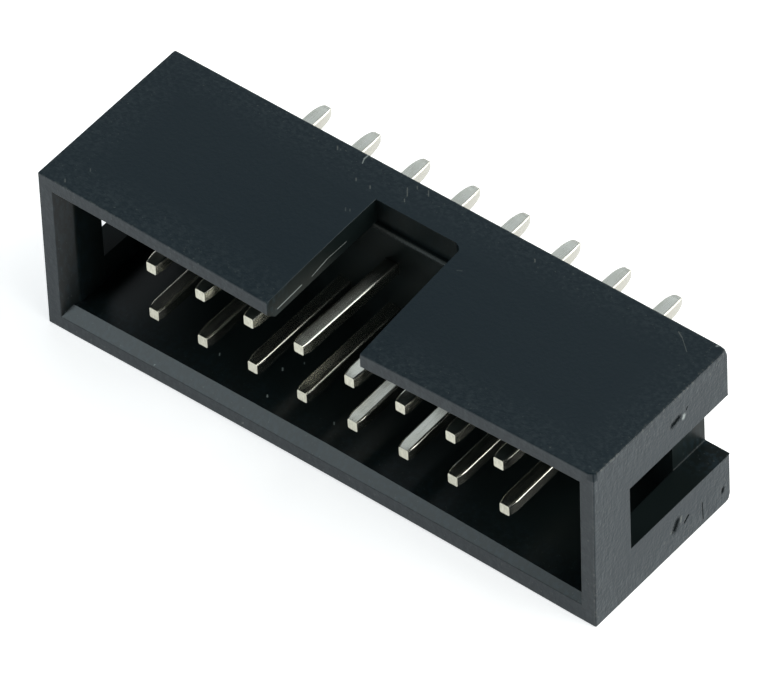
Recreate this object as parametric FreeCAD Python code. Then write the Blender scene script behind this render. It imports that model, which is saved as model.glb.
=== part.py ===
import FreeCAD, Part
import os

# Box header for flat cable: a moulded housing round two rows of straight square
# contacts that are pressed through its base and soldered into a board.
# All sizes are in millimetres. X runs along the rows, Y runs through the header from
# the mating mouth (low Y) to the solder tails (high Y), and Z runs across the rows,
# with the key slot on the high side. The origin is the centre of the contact field
# on the plane that seats on the board. The header lies on its low Z wall.

# Contact field
contacts_per_row = 8
contact_pitch = 2.54
row_spacing = 2.54

# Contact wire
wire_width = 0.64
wire_corner_radius = 0.09
tail_length = 3.2
tip_recess = 0.73
mating_tip_flat = 0.44
mating_taper = 0.4
tail_tip_flat = 0.3
tail_taper = 0.65

# Housing walls and base
end_clearance = 3.81
side_clearance = 1.73
end_wall = 1.25
long_wall = 1.25
shroud_height = 8.7
base_thickness = 2.1
lead_in = 0.55
outer_edge_radius = 0.1

# Key slot in the long wall on the high side
key_slot_width = 4.4
key_ledge_depth = 0.3

# Notch in each end wall, open to the board
end_notch_width = 3.38
end_bridge = 2.32

# Sizes worked out from the values above
row_span = (contacts_per_row - 1) * contact_pitch
cavity_length = row_span + 2 * end_clearance
cavity_width = row_spacing + 2 * side_clearance
housing_length = cavity_length + 2 * end_wall
housing_width = cavity_width + 2 * long_wall
mouth_y = -shroud_height
floor_y = -base_thickness


def block(x_range, y_range, z_range):
    """A rectangular block between two X, two Y and two Z positions."""
    size = [high - low for low, high in (x_range, y_range, z_range)]
    corner = FreeCAD.Vector(x_range[0], y_range[0], z_range[0])
    return Part.makeBox(*size, corner)


def centred(width):
    """The two ends of a span of this width about zero."""
    return (-width / 2, width / 2)


def rectangle(length, width, y):
    """A rectangular wire across the Y axis, centred on it."""
    (x0, x1), (z0, z1) = centred(length), centred(width)
    corners = [(x0, z0), (x1, z0), (x1, z1), (x0, z1), (x0, z0)]
    return Part.makePolygon([FreeCAD.Vector(x, y, z) for x, z in corners])


def contact_section(width, x, y, z):
    """The wire's square outline with rounded corners, scaled to a width."""
    radius = wire_corner_radius * width / wire_width
    flat = width / 2 - radius
    mid = width / 2 - radius * (1 - 0.5 ** 0.5)
    edges = []
    for sx, sz, turn in ((1, 1, 1), (-1, 1, -1), (-1, -1, 1), (1, -1, -1)):
        side = (sx * width / 2, sz * flat)
        top = (sx * flat, sz * width / 2)
        start, end = (side, top) if turn > 0 else (top, side)
        points = [start, (sx * mid, sz * mid), end]
        edges.append([FreeCAD.Vector(x + px, y, z + pz) for px, pz in points])
    outline = []
    for this, following in zip(edges, edges[1:] + edges[:1]):
        outline.append(Part.Arc(*this).toShape())
        outline.append(Part.makeLine(this[2], following[0]))
    return Part.Wire(outline)


def contact_length(x, z, y_start, y_end):
    """A straight length of contact wire between two Y positions."""
    face = Part.Face(contact_section(wire_width, x, y_start, z))
    return face.extrude(FreeCAD.Vector(0, y_end - y_start, 0))


def contact_places():
    """The X and Z of each contact, numbered from the high X end, key slot row first."""
    for column in range(contacts_per_row):
        x = row_span / 2 - column * contact_pitch
        yield x, row_spacing / 2
        yield x, -row_spacing / 2


def tapered_end(x, z, y_shank, y_tip, tip_flat):
    """The cut end of a contact, narrowing from the wire to its flat tip."""
    shank = contact_section(wire_width, x, y_shank, z)
    tip = contact_section(tip_flat, x, y_tip, z)
    return Part.makeLoft([shank, tip], True, True)


def make_contact(x, z):
    """One contact: a square wire with a short mating taper and a longer tail taper."""
    mating_tip = mouth_y + tip_recess
    shank_start = mating_tip + mating_taper
    shank_end = tail_length - tail_taper
    shank = contact_length(x, z, shank_start, shank_end)
    mating_end = tapered_end(x, z, shank_start, mating_tip, mating_tip_flat)
    tail_end = tapered_end(x, z, shank_end, tail_length, tail_tip_flat)
    return shank.fuse([mating_end, tail_end]).removeSplitter()


def housing_body():
    """The outer block of the moulding, with its edges slightly broken."""
    body = block(centred(housing_length), (mouth_y, 0), centred(housing_width))
    return body.makeFillet(outer_edge_radius, body.Edges)


def mating_cavity():
    """The space for the cable's socket, with a bevel that leads it in at the mouth."""
    cavity = block(centred(cavity_length), (mouth_y, floor_y), centred(cavity_width))
    wide = rectangle(cavity_length + 2 * lead_in, cavity_width + 2 * lead_in, mouth_y)
    narrow = rectangle(cavity_length, cavity_width, mouth_y + lead_in)
    return cavity.fuse(Part.makeLoft([wide, narrow], True, True))


def key_slot():
    """The slot that lets in the socket's key, through the wall and a little way past it."""
    slot_end = floor_y + key_ledge_depth
    slot_bottom = cavity_width / 2
    return block(centred(key_slot_width), (mouth_y, slot_end), (slot_bottom, housing_width / 2))


def end_notches():
    """A notch through each end wall, from the board side to the bridge at the mouth."""
    y_range = (mouth_y + end_bridge, 0)
    z_range = centred(end_notch_width)
    inner, outer = cavity_length / 2, housing_length / 2
    return [block((inner, outer), y_range, z_range), block((-outer, -inner), y_range, z_range)]


def contact_holes():
    """The holes in the base, which the contacts fill because they are a press fit."""
    return [contact_length(x, z, floor_y, 0) for x, z in contact_places()]


def make_housing():
    """The moulded housing."""
    cuts = [mating_cavity(), key_slot()] + end_notches() + contact_holes()
    return housing_body().cut(cuts)


def main():
    os.makedirs("parts", exist_ok=True)
    nodes = {"housing": make_housing()}
    for number, (x, z) in enumerate(contact_places(), 1):
        nodes[f"contact_pin_{number}"] = make_contact(x, z)
    for name, shape in nodes.items():
        solids = shape.Solids
        if len(solids) != 1 or not shape.isValid():
            raise ValueError(f"{name} is not one valid solid")
        solids[0].exportStep(f"parts/{name}.step")
        print(f"{name}: {shape.Volume:.3f} mm3")


main()
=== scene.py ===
import math

import bmesh
import bpy
from mathutils import Matrix, Vector


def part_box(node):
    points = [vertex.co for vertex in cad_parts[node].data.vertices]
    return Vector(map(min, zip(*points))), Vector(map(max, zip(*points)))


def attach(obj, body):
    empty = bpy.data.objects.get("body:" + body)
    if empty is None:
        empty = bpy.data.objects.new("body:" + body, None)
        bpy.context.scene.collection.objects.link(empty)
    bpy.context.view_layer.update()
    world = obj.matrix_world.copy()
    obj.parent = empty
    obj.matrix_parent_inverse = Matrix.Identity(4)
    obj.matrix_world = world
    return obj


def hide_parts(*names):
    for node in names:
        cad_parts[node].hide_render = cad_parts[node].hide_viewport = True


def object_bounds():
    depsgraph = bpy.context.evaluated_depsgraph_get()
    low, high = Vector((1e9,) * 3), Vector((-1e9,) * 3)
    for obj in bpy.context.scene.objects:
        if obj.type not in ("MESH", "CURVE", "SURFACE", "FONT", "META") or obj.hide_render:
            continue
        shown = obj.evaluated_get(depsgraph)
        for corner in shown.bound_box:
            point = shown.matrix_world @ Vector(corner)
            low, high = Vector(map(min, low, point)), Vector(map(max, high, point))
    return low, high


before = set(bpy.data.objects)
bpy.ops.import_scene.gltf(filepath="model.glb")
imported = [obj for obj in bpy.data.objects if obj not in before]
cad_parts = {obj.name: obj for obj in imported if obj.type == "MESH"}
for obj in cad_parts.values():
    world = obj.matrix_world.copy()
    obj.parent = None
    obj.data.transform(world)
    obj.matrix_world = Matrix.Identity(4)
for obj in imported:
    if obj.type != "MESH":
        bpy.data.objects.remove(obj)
cad_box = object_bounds()


# The housing is one black injection moulding of glass-filled polyester: four walls round
# the mating cavity, and the base that grips the contacts. It cooled with its long walls
# drawn in and its mouth a little out of square, and its edges are soft from the tool.
mm = 0.001
hair = 0.0001 * mm
contact_count = 16
housing_low, housing_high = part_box("housing")
contact_boxes = [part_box(f"contact_pin_{number + 1}") for number in range(contact_count)]
wall = 1.25 * mm
base_thickness = 2.1 * mm
ledge_depth = 0.3 * mm
bridge_depth = 2.32 * mm
mouth_y = housing_low.y
seat_y = 0.0
floor_y = -base_thickness
half_length = housing_high.x
half_width = housing_high.z
cavity_x = half_length - wall
cavity_z = half_width - wall
slot_x = 2.2 * mm
slot_end_y = floor_y + ledge_depth
notch_z = 1.69 * mm
notch_front_y = mouth_y + bridge_depth
grid_step = 1.3 * mm


def is_plastic(x, y, z):
    """Whether the moulding is solid at a point."""
    in_cavity = y < floor_y and abs(x) < cavity_x and abs(z) < cavity_z
    in_slot = y < slot_end_y and abs(x) < slot_x and z > cavity_z
    in_notch = y > notch_front_y and abs(x) > cavity_x and abs(z) < notch_z
    in_hole = any(low.x < x < high.x and low.z < z < high.z for low, high in contact_boxes)
    return not (in_cavity or in_slot or in_notch or in_hole)


def grid_lines(stops):
    """The stops in order, with even lines between any two that lie far apart."""
    ordered = sorted(set(round(stop, 9) for stop in stops))
    lines = []
    for start, end in zip(ordered, ordered[1:]):
        parts = max(1, math.ceil((end - start) / grid_step - 0.01))
        lines += [start + (end - start) * part / parts for part in range(parts)]
    return lines + ordered[-1:]


def moulding_mesh(xs, ys, zs):
    """The skin of every solid cell of a grid, as one closed mesh of four-sided faces."""
    mesh = bmesh.new()
    corners = {}

    def corner(i, j, k):
        if (i, j, k) not in corners:
            corners[i, j, k] = mesh.verts.new((xs[i], ys[j], zs[k]))
        return corners[i, j, k]

    sizes = (len(xs) - 1, len(ys) - 1, len(zs) - 1)
    middles = [[(a + b) / 2 for a, b in zip(line, line[1:])] for line in (xs, ys, zs)]
    cells = {
        (i, j, k)
        for i in range(sizes[0]) for j in range(sizes[1]) for k in range(sizes[2])
        if is_plastic(middles[0][i], middles[1][j], middles[2][k])
    }
    square = ((0, 0), (1, 0), (1, 1), (0, 1))
    for cell in sorted(cells):
        for axis in range(3):
            for side in (0, 1):
                beside = list(cell)
                beside[axis] += 2 * side - 1
                if tuple(beside) in cells:
                    continue
                ring = []
                for u, v in square:
                    place = list(cell)
                    place[axis] += side
                    place[(axis + 1) % 3] += u
                    place[(axis + 2) % 3] += v
                    ring.append(corner(*place))
                mesh.faces.new(ring if side else ring[::-1])
    return mesh


outer_edge = 0.13 * mm
seat_edge = 0.24 * mm
rim_edge = 0.05 * mm
inner_edge = 0.04 * mm
ledge_edge = 0.26 * mm
lead_in_edge = 0.2 * mm
notch_fillet = 0.22 * mm
softest_edge = 0.3 * mm
sharp_turn = math.radians(30)
end_draft, end_lead_in, end_lead_depth = 0.13 * mm, 0.42 * mm, 0.8 * mm
long_draft, long_lead_in, long_lead_depth = 0.08 * mm, 0.48 * mm, 0.5 * mm
low_lead_loss = 0.38
skin_finish, cavity_finish, recess_shade_finish = 0, 1, 2


def meets(place, line):
    """Whether a coordinate lies on a line of the grid."""
    return abs(place - line) < hair


def edge_radius(edge):
    """How far an edge of the moulding is rounded: least inside, and not in its corners."""
    x, y, z = (edge.verts[0].co + edge.verts[1].co) / 2
    if not edge.is_convex:
        in_fillet = meets(abs(x), cavity_x) and meets(z, -notch_z) and y > floor_y
        return notch_fillet if in_fillet else 0
    if meets(y, floor_y) and meets(z, cavity_z):
        return ledge_edge
    at_seat, at_mouth = meets(y, seat_y), meets(y, mouth_y)
    on_outside = (at_seat or at_mouth, meets(abs(x), half_length), meets(abs(z), half_width))
    if sum(on_outside) > 1:
        return seat_edge if at_seat else outer_edge
    return rim_edge if at_mouth else inner_edge


def is_lead_in_end(edge):
    """Whether an edge is where an end wall's bevel will run out into the wall."""
    last_y = mouth_y + end_lead_depth
    return all(meets(vert.co.y, last_y) and meets(abs(vert.co.x), cavity_x) for vert in edge.verts)


def mark_finishes(mesh):
    """Tells the outer skin from the cavity's polished sides and from the faces on the base, in the
    notch and in the slot, which are made less reflective as painted shade.
    """
    for face in mesh.faces:
        x, y, z = face.calc_center_median()
        side_shade = meets(abs(x), half_length) or meets(abs(z), half_width)
        in_notch = abs(x) > cavity_x - hair and y > notch_front_y - hair
        in_slot = meets(abs(x), slot_x) and z > cavity_z
        if side_shade or meets(y, mouth_y) or meets(y, seat_y):
            face.material_index = skin_finish
        elif in_notch or in_slot or y > floor_y - hair:
            face.material_index = recess_shade_finish
        else:
            face.material_index = cavity_finish


def soften_edges(mesh):
    """Weighs each edge for the bevel, and keeps sharp the ones that aren't rounded."""
    weights = mesh.edges.layers.float.new("bevel_weight_edge")
    mesh.normal_update()
    for edge in mesh.edges:
        if edge.calc_face_angle(0) > sharp_turn:
            edge[weights] = edge_radius(edge) / softest_edge
            edge.smooth = edge[weights] > 0
        elif is_lead_in_end(edge):
            edge[weights] = lead_in_edge / softest_edge


def open_mouth(mesh):
    """Drafts the cavity, and bevels its mouth, less so on the low wall towards the high X end."""
    for vert in mesh.verts:
        x, y, z = vert.co
        if y > floor_y - hair or abs(x) > cavity_x + hair or abs(z) > cavity_z + hair:
            continue
        share = (floor_y - y) / (floor_y - mouth_y)
        lead_share = 1 - low_lead_loss * max(0, x / cavity_x) if z < hair - cavity_z else 1
        if y < mouth_y + long_lead_depth + hair:
            vert.co.y = mouth_y + (y - mouth_y) * lead_share
        if meets(abs(x), cavity_x):
            bevel = end_lead_in * max(0, 1 - (vert.co.y - mouth_y) / end_lead_depth)
            vert.co.x = math.copysign(cavity_x + end_draft * share + bevel, x)
        if meets(abs(z), cavity_z):
            bevel = lead_share * long_lead_in * max(0, 1 - (y - mouth_y) / long_lead_depth)
            vert.co.z = math.copysign(cavity_z + long_draft * share + bevel, z)


top_wall_draw, top_draw_power = 0.42 * mm, 1.5
low_wall_draw, low_draw_power = 0.13 * mm, 2
draw_growth = 1.4
low_slot_shift, high_slot_shift = -0.07 * mm, 0.185 * mm
low_end_skew, high_end_skew, skew_growth = 0.05 * mm, 0.16 * mm, 3


def warp(mesh):
    """Bends the walls in, the slot open and the mouth askew, all of it fading to the base."""
    for vert in mesh.verts:
        x, y, z = vert.co
        share = max(0.0, (floor_y - y) / (floor_y - mouth_y))
        if z > cavity_z - hair:
            middle = (1 - abs(x) / half_length) ** top_draw_power
            vert.co.z -= top_wall_draw * share ** draw_growth * middle
            if meets(abs(x), slot_x):
                vert.co.x += (high_slot_shift if x > 0 else low_slot_shift) * share
        elif z < -cavity_z + hair:
            middle = 1 - min(1, abs(x) / cavity_x) ** low_draw_power
            vert.co.z += low_wall_draw * share ** draw_growth * middle
        skew = low_end_skew + (high_end_skew - low_end_skew) * (x / half_length + 1) / 2
        vert.co.y += skew * share ** skew_growth * (z / half_width + 1) / 2


corner_reach = 0.35 * mm
blunt_corners = (
    ((half_length, mouth_y, half_width), (-0.13, 0.13, 0)),
    ((half_length, seat_y, half_width), (-0.07, -0.07, 0)),
    ((half_length, seat_y, -half_width), (0, -0.1, 0.05)),
    ((slot_x, slot_end_y, half_width), (-0.14, -0.12, 0)),
    ((slot_x, slot_end_y, half_width - corner_reach), (-0.14, -0.12, 0)),
)


def blunt(mesh):
    """Blunts the knocked corners at one end, and fills the slot's corner on that side."""
    for corner, shift in blunt_corners:
        nearest = min(mesh.verts, key=lambda vert: (vert.co - Vector(corner)).length)
        nearest.co += Vector(shift) * mm


x_stops = [side * x for x in (half_length, cavity_x, slot_x) for side in (-1, 1)]
x_stops += [half_length - corner_reach, slot_x - corner_reach]
x_stops += [corner.x for box in contact_boxes for corner in box]
y_stops = [mouth_y, notch_front_y, floor_y, slot_end_y, seat_y - corner_reach, seat_y]
y_stops += [mouth_y + depth for depth in (long_lead_depth / 2, long_lead_depth, end_lead_depth)]
z_stops = [side * z for z in (half_width, cavity_z, notch_z) for side in (-1, 1)]
z_stops += [side * (half_width - corner_reach) for side in (-1, 1)]
z_stops += [corner.z for box in contact_boxes for corner in box]
skin = moulding_mesh(grid_lines(x_stops), grid_lines(y_stops), grid_lines(z_stops))
mark_finishes(skin)
soften_edges(skin)
open_mouth(skin)
blunt(skin)
warp(skin)
housing_mesh = bpy.data.meshes.new("moulded_housing")
skin.to_mesh(housing_mesh)
skin.free()
housing = bpy.data.objects.new("moulded_housing", housing_mesh)
bpy.context.collection.objects.link(housing)
soften = housing.modifiers.new("soft_edges", "BEVEL")
soften.width = softest_edge
soften.segments = 3
soften.limit_method = "WEIGHT"
soften.harden_normals = True


def material_with(name):
    """A new material, its node tree and its surface shader."""
    material = bpy.data.materials.new(name)
    material.use_nodes = True
    return material, material.node_tree, material.node_tree.nodes["Principled BSDF"]


def add_node(tree, kind, inputs, **settings):
    """A shader node with its settings, and its inputs as numbers or as other nodes' outputs."""
    node = tree.nodes.new("ShaderNode" + kind)
    for name, value in settings.items():
        setattr(node, name, value)
    for name, value in inputs.items():
        if isinstance(value, bpy.types.NodeSocket):
            tree.links.new(value, node.inputs[name])
        else:
            node.inputs[name].default_value = value
    return node


def maths(tree, operation, first, second=0.0, third=0.0):
    """The outcome of a maths node on one to three numbers or outputs."""
    return add_node(tree, "Math", {0: first, 1: second, 2: third}, operation=operation).outputs[0]


def fade(tree, value, start, end, low=0.0, high=1.0):
    """A value turned smoothly from low to high as it goes from start to end."""
    ends = {"Value": value, "From Min": start, "From Max": end, "To Min": low, "To Max": high}
    return add_node(tree, "MapRange", ends, interpolation_type="SMOOTHSTEP").outputs["Result"]


def blend_colours(tree, share, first, second):
    """A mix of two colours by a share."""
    inputs = {"Factor": share, 6: first, 7: second}
    return add_node(tree, "Mix", inputs, data_type="RGBA").outputs[2]


def speckle(tree, place, scale, detail=2.0, stretch=(1, 1, 1)):
    """Cloudy noise at so many grains a metre, drawn out where the stretch is small."""
    drawn = add_node(tree, "Mapping", {"Vector": place, "Scale": stretch}).outputs["Vector"]
    inputs = {"Vector": drawn, "Scale": scale, "Detail": detail}
    return add_node(tree, "TexNoise", inputs).outputs["Fac"]


def stroke_mask(tree, place, ragged, start, end, width):
    """One inside a straight mark between two points, fading to nothing at its ragged sides."""
    start, run = Vector(start) * mm, (Vector(end) - Vector(start)) * mm
    reach = add_node(tree, "VectorMath", {0: place, 1: start}, operation="SUBTRACT").outputs[0]
    inputs = {0: reach, 1: run / run.length_squared}
    along = add_node(tree, "VectorMath", inputs, operation="DOT_PRODUCT").outputs["Value"]
    kept = add_node(tree, "Clamp", {"Value": along, "Min": 0.0, "Max": 1.0}).outputs[0]
    foot = add_node(tree, "VectorMath", {0: run, "Scale": kept}, operation="SCALE").outputs[0]
    away = add_node(tree, "VectorMath", {0: reach, 1: foot}, operation="DISTANCE").outputs["Value"]
    worn = maths(tree, "MULTIPLY_ADD", ragged, 0.9 * width * mm, away)
    return fade(tree, worn, 0.35 * width * mm, 1.5 * width * mm, 1, 0)


def strongest_stroke(tree, place, marks):
    """The strongest of several straight marks at each point."""
    ragged = speckle(tree, place, 16000, 3)
    whole = 0.0
    for mark in marks:
        whole = maths(tree, "MAXIMUM", whole, stroke_mask(tree, place, ragged, *mark))
    return whole


# Marks, each with its two ends and its width in millimetres: gouges whose darkness is painted
# shade, chips, dust and light streaks, and painted glints and a painted highlight.
shaded_skin_gouges = (
    ((13.95, -3.58, 2.96), (13.95, -3.22, 3.05), 0.26),
    ((13.95, -2.72, 3.1), (13.95, -2.66, 3.2), 0.07),
    ((13.95, -3.64, -2.98), (13.95, -3.44, -2.64), 0.3),
    ((13.95, -3.0, -3.1), (13.95, -2.76, -2.9), 0.1),
    ((13.95, -1.86, -2.95), (13.95, -1.82, -3.9), 0.045),
    ((13.95, -0.56, -3.42), (13.95, -0.52, -3.28), 0.16),
)
# Nicks on the skin, and a painted glint beside the upper gouge on the end face.
skin_chips_and_glints = (
    ((13.95, -2.9, 2.8), (13.95, -2.86, 2.9), 0.15),
    ((13.5, -0.16, 4.25), (13.54, -0.1, 4.25), 0.06),
    ((-3.97, 0.05, 4.25), (-3.98, -0.32, 4.25), 0.05),
    ((-3.98, -0.32, 4.25), (-3.88, -0.56, 4.25), 0.035),
)
# Dust and a fibre on the skin, and painted glints beside the lower gouge on the end face.
skin_dust_and_glints = (
    ((13.95, -3.24, -2.84), (13.95, -3.2, -2.64), 0.12),
    ((13.95, -3.86, -3.0), (13.95, -3.8, -2.96), 0.08),
    ((-5.16, -0.55, 4.25), (-5.26, -0.42, 4.25), 0.04),
    ((-3.47, -1.47, 4.25), (-3.57, -1.35, 4.25), 0.04),
    ((-2.75, -1.48, 4.25), (-2.85, -1.36, 4.25), 0.04),
    ((-1.31, -0.93, 4.25), (-1.59, -0.57, 4.25), 0.035),
    ((-0.63, -0.43, 4.25), (-0.83, -0.18, 4.25), 0.03),
    ((-1.23, -0.39, 4.25), (-1.33, -0.27, 4.25), 0.035),
    ((-1.2, -1.24, 4.25), (-1.3, -1.12, 4.25), 0.035),
    ((4.99, -0.78, 4.25), (4.89, -0.66, 4.25), 0.045),
    ((-2.78, -3.0, 4.25), (-2.88, -2.88, 4.25), 0.04),
    ((-2.62, -2.92, 4.25), (-2.7, -2.82, 4.25), 0.035),
    ((-12.29, -7.35, 4.25), (-12.39, -7.23, 4.25), 0.035),
    ((-12.72, -8.4, 4.25), (-12.82, -8.28, 4.25), 0.045),
    ((-11.18, -8.37, 4.25), (-11.26, -8.27, 4.25), 0.04),
    ((3.08, -3.8, 4.25), (3.22, -3.98, 4.25), 0.04),
    ((2.8, -2.96, 4.25), (2.98, -2.86, 4.25), 0.035),
    ((-5.1, -7.07, 4.2), (-5.0, -7.19, 4.2), 0.05),
    ((-4.66, -7.65, 4.15), (-4.6, -7.72, 4.15), 0.05),
    ((-3.88, -8.7, -3.86), (-3.84, -8.7, -3.8), 0.07),
    ((11.84, -0.43, 4.25), (12.15, -0.6, 4.25), 0.035),
    ((12.15, -0.6, 4.25), (12.76, -1.1, 4.25), 0.02),
)
cavity_chips = (
    ((-2.5, -6.1, -2.99), (-2.42, -6.2, -2.99), 0.04),
    ((-0.43, -7.1, -2.97), (-0.35, -7.2, -2.97), 0.04),
    ((-6.5, -6.85, -3.0), (-6.42, -6.96, -3.0), 0.035),
    ((-3.96, -5.99, -2.99), (-3.87, -6.1, -2.99), 0.05),
    ((-3.46, -5.23, -2.99), (-3.4, -5.3, -2.99), 0.035),
    ((-3.5, -7.53, -2.975), (-3.43, -7.61, -2.975), 0.05),
    ((2.25, -8.62, -2.88), (2.25, -8.62, -2.94), 0.045),
    ((5.59, -8.62, -3.04), (5.59, -8.62, -3.1), 0.045),
    ((10.07, -8.62, -2.96), (10.07, -8.62, -3.02), 0.045),
    ((-8.66, -8.62, -3.78), (-8.33, -8.62, -3.2), 0.04),
)
# Light streaks along the lower edge of the slot's cheek.
core_light_streaks = (
    ((-2.262, -7.98, 3.12), (-2.247, -6.5, 3.23), 0.05),
    ((-2.24, -5.85, 3.2), (-2.23, -4.92, 3.4), 0.035),
    ((-2.23, -4.92, 3.4), (-2.217, -3.7, 3.4), 0.02),
)
# A painted highlight along the front edge of the key slot's ledge.
painted_ledge_highlight = (
    ((-2.15, -2.02, 3.0), (1.9, -2.02, 3.0), 0.12),
)
skin_colour = (0.001, 0.0085, 0.0135, 1)
cavity_colour = (0.005, 0.008, 0.008, 1)
rubbed_colour = (0.01, 0.019, 0.024, 1)
fleck_colour = (0.04, 0.048, 0.047, 1)
# Chips, and painted glints, share this light colour.
chip_and_glint_colour = (0.26, 0.29, 0.28, 1)
# Dust, and painted glints and a painted highlight, share this colour.
dust_and_highlight_colour = (0.09, 0.1, 0.095, 1)
# Painted shade for the insides of the gouges.
gouge_shade_colour = (0.003, 0.004, 0.004, 1)
gouge_depth = 0.09
rubbed_reach = 2.4 * mm
burr_reach = 0.16 * mm


def black_polyester(name, plastic_colour, ior, matt, relief, shaded_gouges=(), chips_and_glints=(), dust_and_highlights=()):
    """Black plastic, rubbed and flecked with glass along the outer edges, marked by use, with
    painted shade in its gouges and painted glints and highlights among its chips and dust.
    """
    material, tree, shader = material_with(name)
    place = add_node(tree, "TexCoord", {}).outputs["Object"]
    parts = add_node(tree, "SeparateXYZ", {"Vector": place}).outputs
    to_end = maths(tree, "SUBTRACT", half_length, maths(tree, "ABSOLUTE", parts["X"]))
    to_side = maths(tree, "SUBTRACT", half_width, maths(tree, "ABSOLUTE", parts["Z"]))
    to_mouth = maths(tree, "SUBTRACT", parts["Y"], mouth_y)
    to_rim = maths(tree, "MINIMUM", to_mouth, maths(tree, "SUBTRACT", seat_y, parts["Y"]))
    nearer = maths(tree, "MINIMUM", to_end, to_rim)
    further = maths(tree, "MAXIMUM", to_end, to_rim)
    to_edge = maths(tree, "MAXIMUM", nearer, maths(tree, "MINIMUM", further, to_side))

    grain = speckle(tree, place, 7000)
    streaks = speckle(tree, place, 5200, 3, (1, 1, 0.4))
    specks = speckle(tree, place, 9000, 1, (1, 1, 0.5))
    near_edge = fade(tree, to_edge, rubbed_reach, 0.2 * mm)
    at_edge = fade(tree, to_edge, burr_reach, burr_reach / 4)
    rub = maths(tree, "MULTIPLY", near_edge, fade(tree, streaks, 0.4, 0.7))
    flecks = maths(tree, "MULTIPLY", near_edge, fade(tree, specks, 0.68, 0.78))
    burr = maths(tree, "MULTIPLY", at_edge, fade(tree, specks, 0.5, 0.66))
    colour = blend_colours(tree, rub, plastic_colour, rubbed_colour)
    colour = blend_colours(tree, maths(tree, "MAXIMUM", flecks, burr), colour, fleck_colour)
    # Chips and dust, with the painted glints and painted highlight that share their colours.
    for marks, mark_colour in ((chips_and_glints, chip_and_glint_colour), (dust_and_highlights, dust_and_highlight_colour)):
        if marks:
            colour = blend_colours(tree, strongest_stroke(tree, place, marks), colour, mark_colour)
    roughness = maths(tree, "MULTIPLY_ADD", grain, 0.06, matt)
    tooth = fade(tree, to_edge, rubbed_reach, rubbed_reach / 4, 0.5 * relief, relief)
    tooth = maths(tree, "MULTIPLY", tooth, fade(tree, to_end, 0.1 * mm, 0, 1, 2.4))
    height = maths(tree, "MULTIPLY", tooth, maths(tree, "ADD", grain, streaks))
    # Gouges dent the bump; their dark colour and weakened reflection are painted shade.
    if shaded_gouges:
        dent_and_shade_mask = strongest_stroke(tree, place, shaded_gouges)
        colour = blend_colours(tree, dent_and_shade_mask, colour, gouge_shade_colour)
        roughness = maths(tree, "MULTIPLY_ADD", dent_and_shade_mask, 0.4, roughness)
        height = maths(tree, "MULTIPLY_ADD", dent_and_shade_mask, -gouge_depth, height)
        tree.links.new(fade(tree, dent_and_shade_mask, 0.1, 0.9, 0.5, 0.02), shader.inputs["Specular IOR Level"])

    tree.links.new(colour, shader.inputs["Base Color"])
    tree.links.new(roughness, shader.inputs["Roughness"])
    shader.inputs["IOR"].default_value = ior
    bump = add_node(tree, "Bump", {"Strength": 0.7, "Distance": mm, "Height": height})
    tree.links.new(bump.outputs["Normal"], shader.inputs["Normal"])
    return material


for finish in (
    black_polyester(
        "satin_skin", skin_colour, ior=1.4, matt=0.41, relief=0.014,
        shaded_gouges=shaded_skin_gouges, chips_and_glints=skin_chips_and_glints, dust_and_highlights=skin_dust_and_glints,
    ),
    black_polyester(
        "polished_cavity", cavity_colour, ior=1.38, matt=0.28, relief=0.001, chips_and_glints=cavity_chips,
    ),
    # A less reflective copy of the plastic for the base, notch and slot faces: painted shade.
    black_polyester(
        "shade_darkened_core", cavity_colour, ior=1.19, matt=0.34, relief=0.002,
        chips_and_glints=core_light_streaks, dust_and_highlights=painted_ledge_highlight,
    ),
):
    housing_mesh.materials.append(finish)
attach(housing, "root")
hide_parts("housing")


# Each contact is a length of drawn square wire of copper alloy, tin plated, pressed
# through the base. Both ends are cropped and coined to a blunt taper, the tail's longer
# than the mating end's, and most of the mating ends have been nudged out of line.
wire_corner = 0.09 * mm
corner_points = 5
taper_rings = 6
mating_taper, mating_flat = 0.5 * mm, (0.74, 0.82)
tail_taper, tail_flat = 0.85 * mm, (0.42, 0.42)
tail_lean = Vector((0.12, 0, 0.09)) * mm
# How far each mating tip has been nudged along X and Z, in millimetres, from contact 1 on.
nudges = (
    (-0.18, -0.09), (0.03, -0.03), (-0.03, -0.09), (-0.02, 0), (0, -0.01), (0.05, -0.05),
    (-0.03, -0.12), (0.01, -0.07), (-0.03, 0.15), (-0.01, -0.01), (-0.05, 0.09), (0.02, 0.07),
    (0.02, 0.09), (-0.01, -0.02), (0.05, 0.07), (0.03, -0.02),
)


def wire_outline(half):
    """The points round a square wire with rounded corners, for a wire of half width 1."""
    radius = wire_corner / half
    centre = (1 - radius) * math.sqrt(2)
    points = []
    for quarter in range(4):
        turn = quarter * math.pi / 2
        middle = turn + math.pi / 4
        for step in range(corner_points):
            angle = turn + math.pi / 2 * step / (corner_points - 1)
            points.append((
                centre * math.cos(middle) + radius * math.cos(angle),
                centre * math.sin(middle) + radius * math.sin(angle),
            ))
    return points


def mating_shoulder(along):
    """How far a mating end has narrowed, as a share, part of the way along its coining."""
    return along ** 1.7


def tail_shoulder(along):
    """How far a tail has narrowed, as a share, part of the way along its coining."""
    return (1 - math.sqrt(1 - along ** 2)) ** 0.85


def coined_end(start, end, flat, shoulder):
    """Y places and widths along a coined end, from the full wire to its flat tip."""
    profile = []
    for ring in range(taper_rings + 1):
        along = math.sin(math.pi / 2 * ring / taper_rings)
        widths = [1 - (1 - share) * shoulder(along) for share in flat]
        profile.append((start + (end - start) * along, widths))
    return profile


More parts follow.
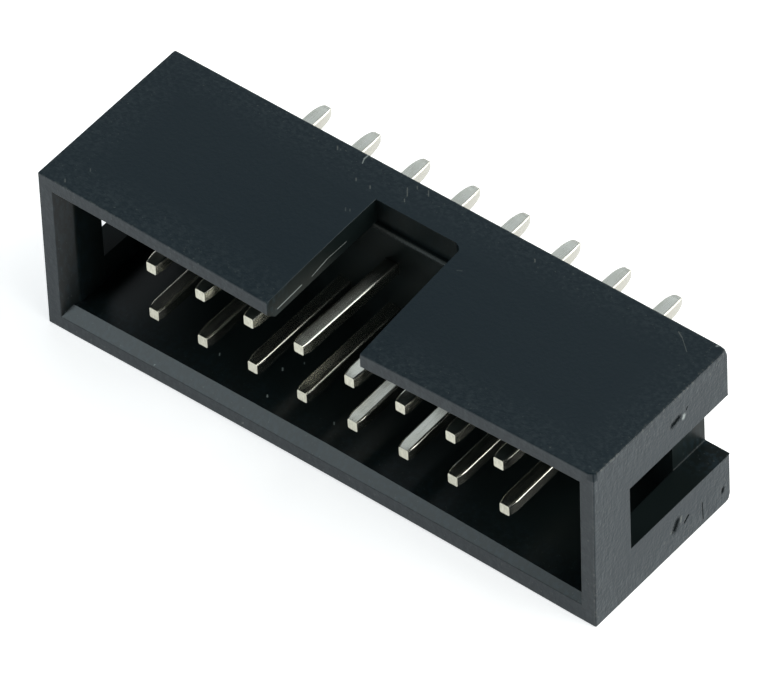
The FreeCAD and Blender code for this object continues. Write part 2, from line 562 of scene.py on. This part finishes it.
def contact_mesh(name, low, high, nudge):
    """One contact as rings of points along Y, closed by a flat cropped face at each end."""
    half = (high.x - low.x) / 2
    middle_x, middle_z = (low.x + high.x) / 2, (low.z + high.z) / 2
    outline = wire_outline(half)
    mating = coined_end(low.y + mating_taper, low.y, mating_flat, mating_shoulder)[::-1]
    tail = coined_end(high.y - tail_taper, high.y, tail_flat, tail_shoulder)
    mesh = bmesh.new()
    rings = []
    for y, (width_x, width_z) in mating + [(floor_y, (1, 1)), (seat_y, (1, 1))] + tail:
        lean = max(0, (floor_y - y) / (floor_y - low.y))
        back_lean = max(0, (y - floor_y) / (high.y - floor_y))
        ring_x = middle_x + nudge[0] * mm * lean + tail_lean.x * back_lean
        ring_z = middle_z + nudge[1] * mm * lean + tail_lean.z * back_lean
        rings.append([
            mesh.verts.new((ring_x + half * width_x * px, y, ring_z + half * width_z * pz))
            for px, pz in outline
        ])
    for ring, following in zip(rings, rings[1:]):
        for a in range(len(ring)):
            b = (a + 1) % len(ring)
            mesh.faces.new((ring[a], following[a], following[b], ring[b]))
    mesh.faces.new(rings[-1][::-1])
    cropped = mesh.faces.new(rings[0])
    cropped.material_index = 1
    for edge in cropped.edges:
        edge.smooth = False
    bmesh.ops.recalc_face_normals(mesh, faces=mesh.faces[:])
    shape = bpy.data.meshes.new(name)
    mesh.to_mesh(shape)
    mesh.free()
    return shape


bright_tin, pale_tin = (0.82, 0.81, 0.73, 1), (0.74, 0.73, 0.64, 1)
# Painted shade for the tails' sides.
tail_side_shade_tin = (0.5, 0.49, 0.44, 1)
torn_metal, shaded_metal = (0.66, 0.65, 0.55, 1), (0.54, 0.53, 0.44, 1)


def tin_plate():
    """Bright tin over drawn wire, with fine streaks along it, a little rougher on the tails, and
    with painted shade on the tails' sides.
    """
    material, tree, shader = material_with("tin_plate")
    coordinates = add_node(tree, "TexCoord", {}).outputs
    place = coordinates["Object"]
    streaks = speckle(tree, place, 16000, 3, (1, 0.05, 1))
    patches = speckle(tree, place, 1800, 2, (1, 0.5, 1))
    colour = blend_colours(tree, fade(tree, patches, 0.35, 0.7), bright_tin, pale_tin)
    along = add_node(tree, "SeparateXYZ", {"Vector": place}).outputs["Y"]
    facing = add_node(tree, "SeparateXYZ", {"Vector": coordinates["Normal"]}).outputs["X"]
    on_tail = fade(tree, along, 0, 0.4 * mm)
    side_shade = fade(tree, maths(tree, "ABSOLUTE", facing), 0.1, 0.7)
    # Painted shade: the tails' sides, facing along X, take the darker tin.
    colour = blend_colours(tree, maths(tree, "MULTIPLY", on_tail, side_shade), colour, tail_side_shade_tin)
    tree.links.new(colour, shader.inputs["Base Color"])
    gloss = fade(tree, streaks, 0.3, 0.7, 0.18, 0.26)
    tree.links.new(maths(tree, "MULTIPLY_ADD", on_tail, 0.08, gloss), shader.inputs["Roughness"])
    relief = add_node(tree, "Bump", {"Strength": 0.5, "Distance": 0.002 * mm, "Height": streaks})
    tree.links.new(relief.outputs["Normal"], shader.inputs["Normal"])
    shader.inputs["Metallic"].default_value = 1
    return material


def cropped_wire():
    """The cut face at a contact's mating end, torn matt by the shear."""
    material, tree, shader = material_with("cropped_wire")
    place = add_node(tree, "TexCoord", {}).outputs["Object"]
    tear = speckle(tree, place, 14000, 3, (1, 1, 0.4))
    colour = blend_colours(tree, fade(tree, tear, 0.3, 0.7), torn_metal, shaded_metal)
    tree.links.new(colour, shader.inputs["Base Color"])
    relief = add_node(tree, "Bump", {"Strength": 0.6, "Distance": 0.01 * mm, "Height": tear})
    tree.links.new(relief.outputs["Normal"], shader.inputs["Normal"])
    shader.inputs["Metallic"].default_value = 1
    shader.inputs["Roughness"].default_value = 0.42
    return material


contact_finishes = (tin_plate(), cropped_wire())
for number, ((low, high), nudge) in enumerate(zip(contact_boxes, nudges), 1):
    shape = contact_mesh(f"contact_{number}", low, high, nudge)
    for finish in contact_finishes:
        shape.materials.append(finish)
    contact = bpy.data.objects.new(f"contact_{number}", shape)
    bpy.context.collection.objects.link(contact)
    flats = contact.modifiers.new("flat_faces", "WEIGHTED_NORMAL")
    flats.weight = 60
    flats.keep_sharp = True
    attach(contact, "root")
    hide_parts(f"contact_pin_{number}")


# The floor is a plain pale sheet of matt paper that glows a little, so that it stays as
# white as a lit table. It lies just under the header's resting side, and never touches it.
floor_half = 0.6
floor_gap = 0.01 * mm
floor_glow = 0.66
floor_mesh = bpy.data.meshes.new("studio_floor")
floor_z = cad_box[0][2] - floor_gap
floor_mesh.from_pydata(
    [(x * floor_half, y * floor_half, floor_z) for x, y in ((-1, -1), (1, -1), (1, 1), (-1, 1))],
    [], [(0, 1, 2, 3)],
)
floor = bpy.data.objects.new("studio_floor", floor_mesh)
bpy.context.collection.objects.link(floor)
paper, tree, shader = material_with("pale_paper")
shader.inputs["Base Color"].default_value = (0.8, 0.8, 0.8, 1)
shader.inputs["Roughness"].default_value = 0.9
shader.inputs["Emission Color"].default_value = (1, 1, 1, 1)
shader.inputs["Emission Strength"].default_value = floor_glow
floor_mesh.materials.append(paper)


# Plain soft studio light: a dim pale surround, cool boxes behind the header for the long
# face, paler ones on its right for the end face, and a small near one that fills the mouth.
surround_glow = 0.01
world = bpy.data.worlds.new("studio")
bpy.context.scene.world = world
world.use_nodes = True
world.node_tree.nodes["Background"].inputs["Color"].default_value = (0.93, 0.97, 1, 1)
world.node_tree.nodes["Background"].inputs["Strength"].default_value = surround_glow
cool, cold, pale = (0.91, 1, 1.06), (0.84, 0.98, 1.03), (0.98, 1, 0.98)


def soft_box(name, azimuth, elevation, distance, size, radiance, tint):
    """A light panel that faces the header, as bright as a surface of that radiance."""
    width, height = size
    light = bpy.data.lights.new(name, "AREA")
    light.shape = "RECTANGLE"
    light.size = width
    light.size_y = height
    light.color = tint
    light.energy = radiance * math.pi * width * height
    lamp = bpy.data.objects.new(name, light)
    bpy.context.collection.objects.link(lamp)
    across, rise = math.radians(azimuth), math.radians(elevation)
    towards = Vector((
        math.sin(across) * math.cos(rise), math.cos(across) * math.cos(rise), math.sin(rise),
    ))
    lamp.location = towards * distance
    lamp.rotation_euler = towards.to_track_quat("Z", "Y").to_euler()


for name, azimuth, elevation, distance, size, radiance, tint in (
    ("overhead_box", -40, 53, 0.5, (0.30, 0.24), 0.6, cool),
    ("back_box", -40, 31, 0.5, (0.30, 0.12), 0.85, cool),
    ("low_back_box", -40, 13, 0.5, (0.34, 0.18), 0.5, cool),
    ("front_left_box", -141, 27, 0.169, (0.08, 0.09), 4.5, cold),
    ("right_box", 75, 40, 0.5, (0.55, 0.50), 2.5, pale),
    ("low_right_box", 52, 20, 0.5, (0.60, 0.28), 2.4, pale),
    ("rear_right_box", 25, 22, 0.5, (0.50, 0.30), 3.2, pale),
):
    soft_box(name, azimuth, elevation, distance, size, radiance, tint)


# The camera looks down on the mouth and the end wall through a long lens, as in the photo.
# It turns round its own line of sight by the roll, and its lens is given in pixels.
azimuth = math.radians(40.774)
elevation = math.radians(46.163)
roll = math.radians(-2.993)
camera_distance = 0.44192
focal_pixels = 11099.7
frame_pixels = 770
aim = Vector((-0.715, -3.453, -2.063)) * mm
back = Vector((
    math.sin(azimuth) * math.cos(elevation),
    -math.cos(azimuth) * math.cos(elevation),
    math.sin(elevation),
))
level = Vector((math.cos(azimuth), math.sin(azimuth), 0))
upright = back.cross(level)
right = level * math.cos(roll) + upright * math.sin(roll)
up = upright * math.cos(roll) - level * math.sin(roll)
lens = bpy.data.cameras.new("camera")
lens.sensor_width = 36
lens.lens = focal_pixels / frame_pixels * lens.sensor_width
lens.clip_start = 0.01
lens.clip_end = 10
camera = bpy.data.objects.new("camera", lens)
bpy.context.collection.objects.link(camera)
turn = Matrix((right, up, back)).transposed().to_4x4()
camera.matrix_world = Matrix.Translation(aim + back * camera_distance) @ turn
bpy.context.scene.camera = camera
bpy.context.scene.view_settings.view_transform = "Standard"
